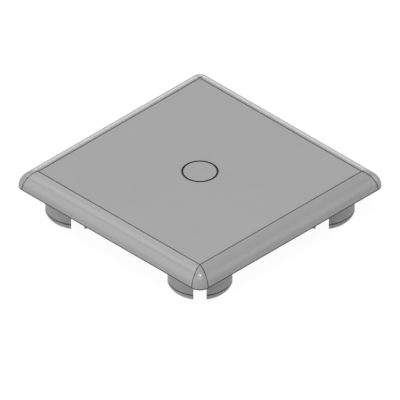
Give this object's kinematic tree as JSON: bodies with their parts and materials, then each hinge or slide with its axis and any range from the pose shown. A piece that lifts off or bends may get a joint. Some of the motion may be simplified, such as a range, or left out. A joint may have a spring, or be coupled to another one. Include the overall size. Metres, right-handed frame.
{
  "type": "profile end cap",
  "caption": "Square push-in end cap for structural profile: flat plate with rolled edges and blended corners, a fine ring groove in its face and split round pegs beneath.",
  "frame": {"origin": "centre of the seat face, the plate's underside that lies on the profile's cut end", "axes": "+Z out of the visible face, with the pegs pointing to -Z; +X and +Y along the plate's sides"},
  "size_m": [0.06, 0.06, 0.0119],
  "materials": {
    "moulded_plastic": "fine moulded grain, satin"
  },
  "bodies": {
    "root": {"end_cap": "moulded_plastic"}
  },
  "joints": []
}
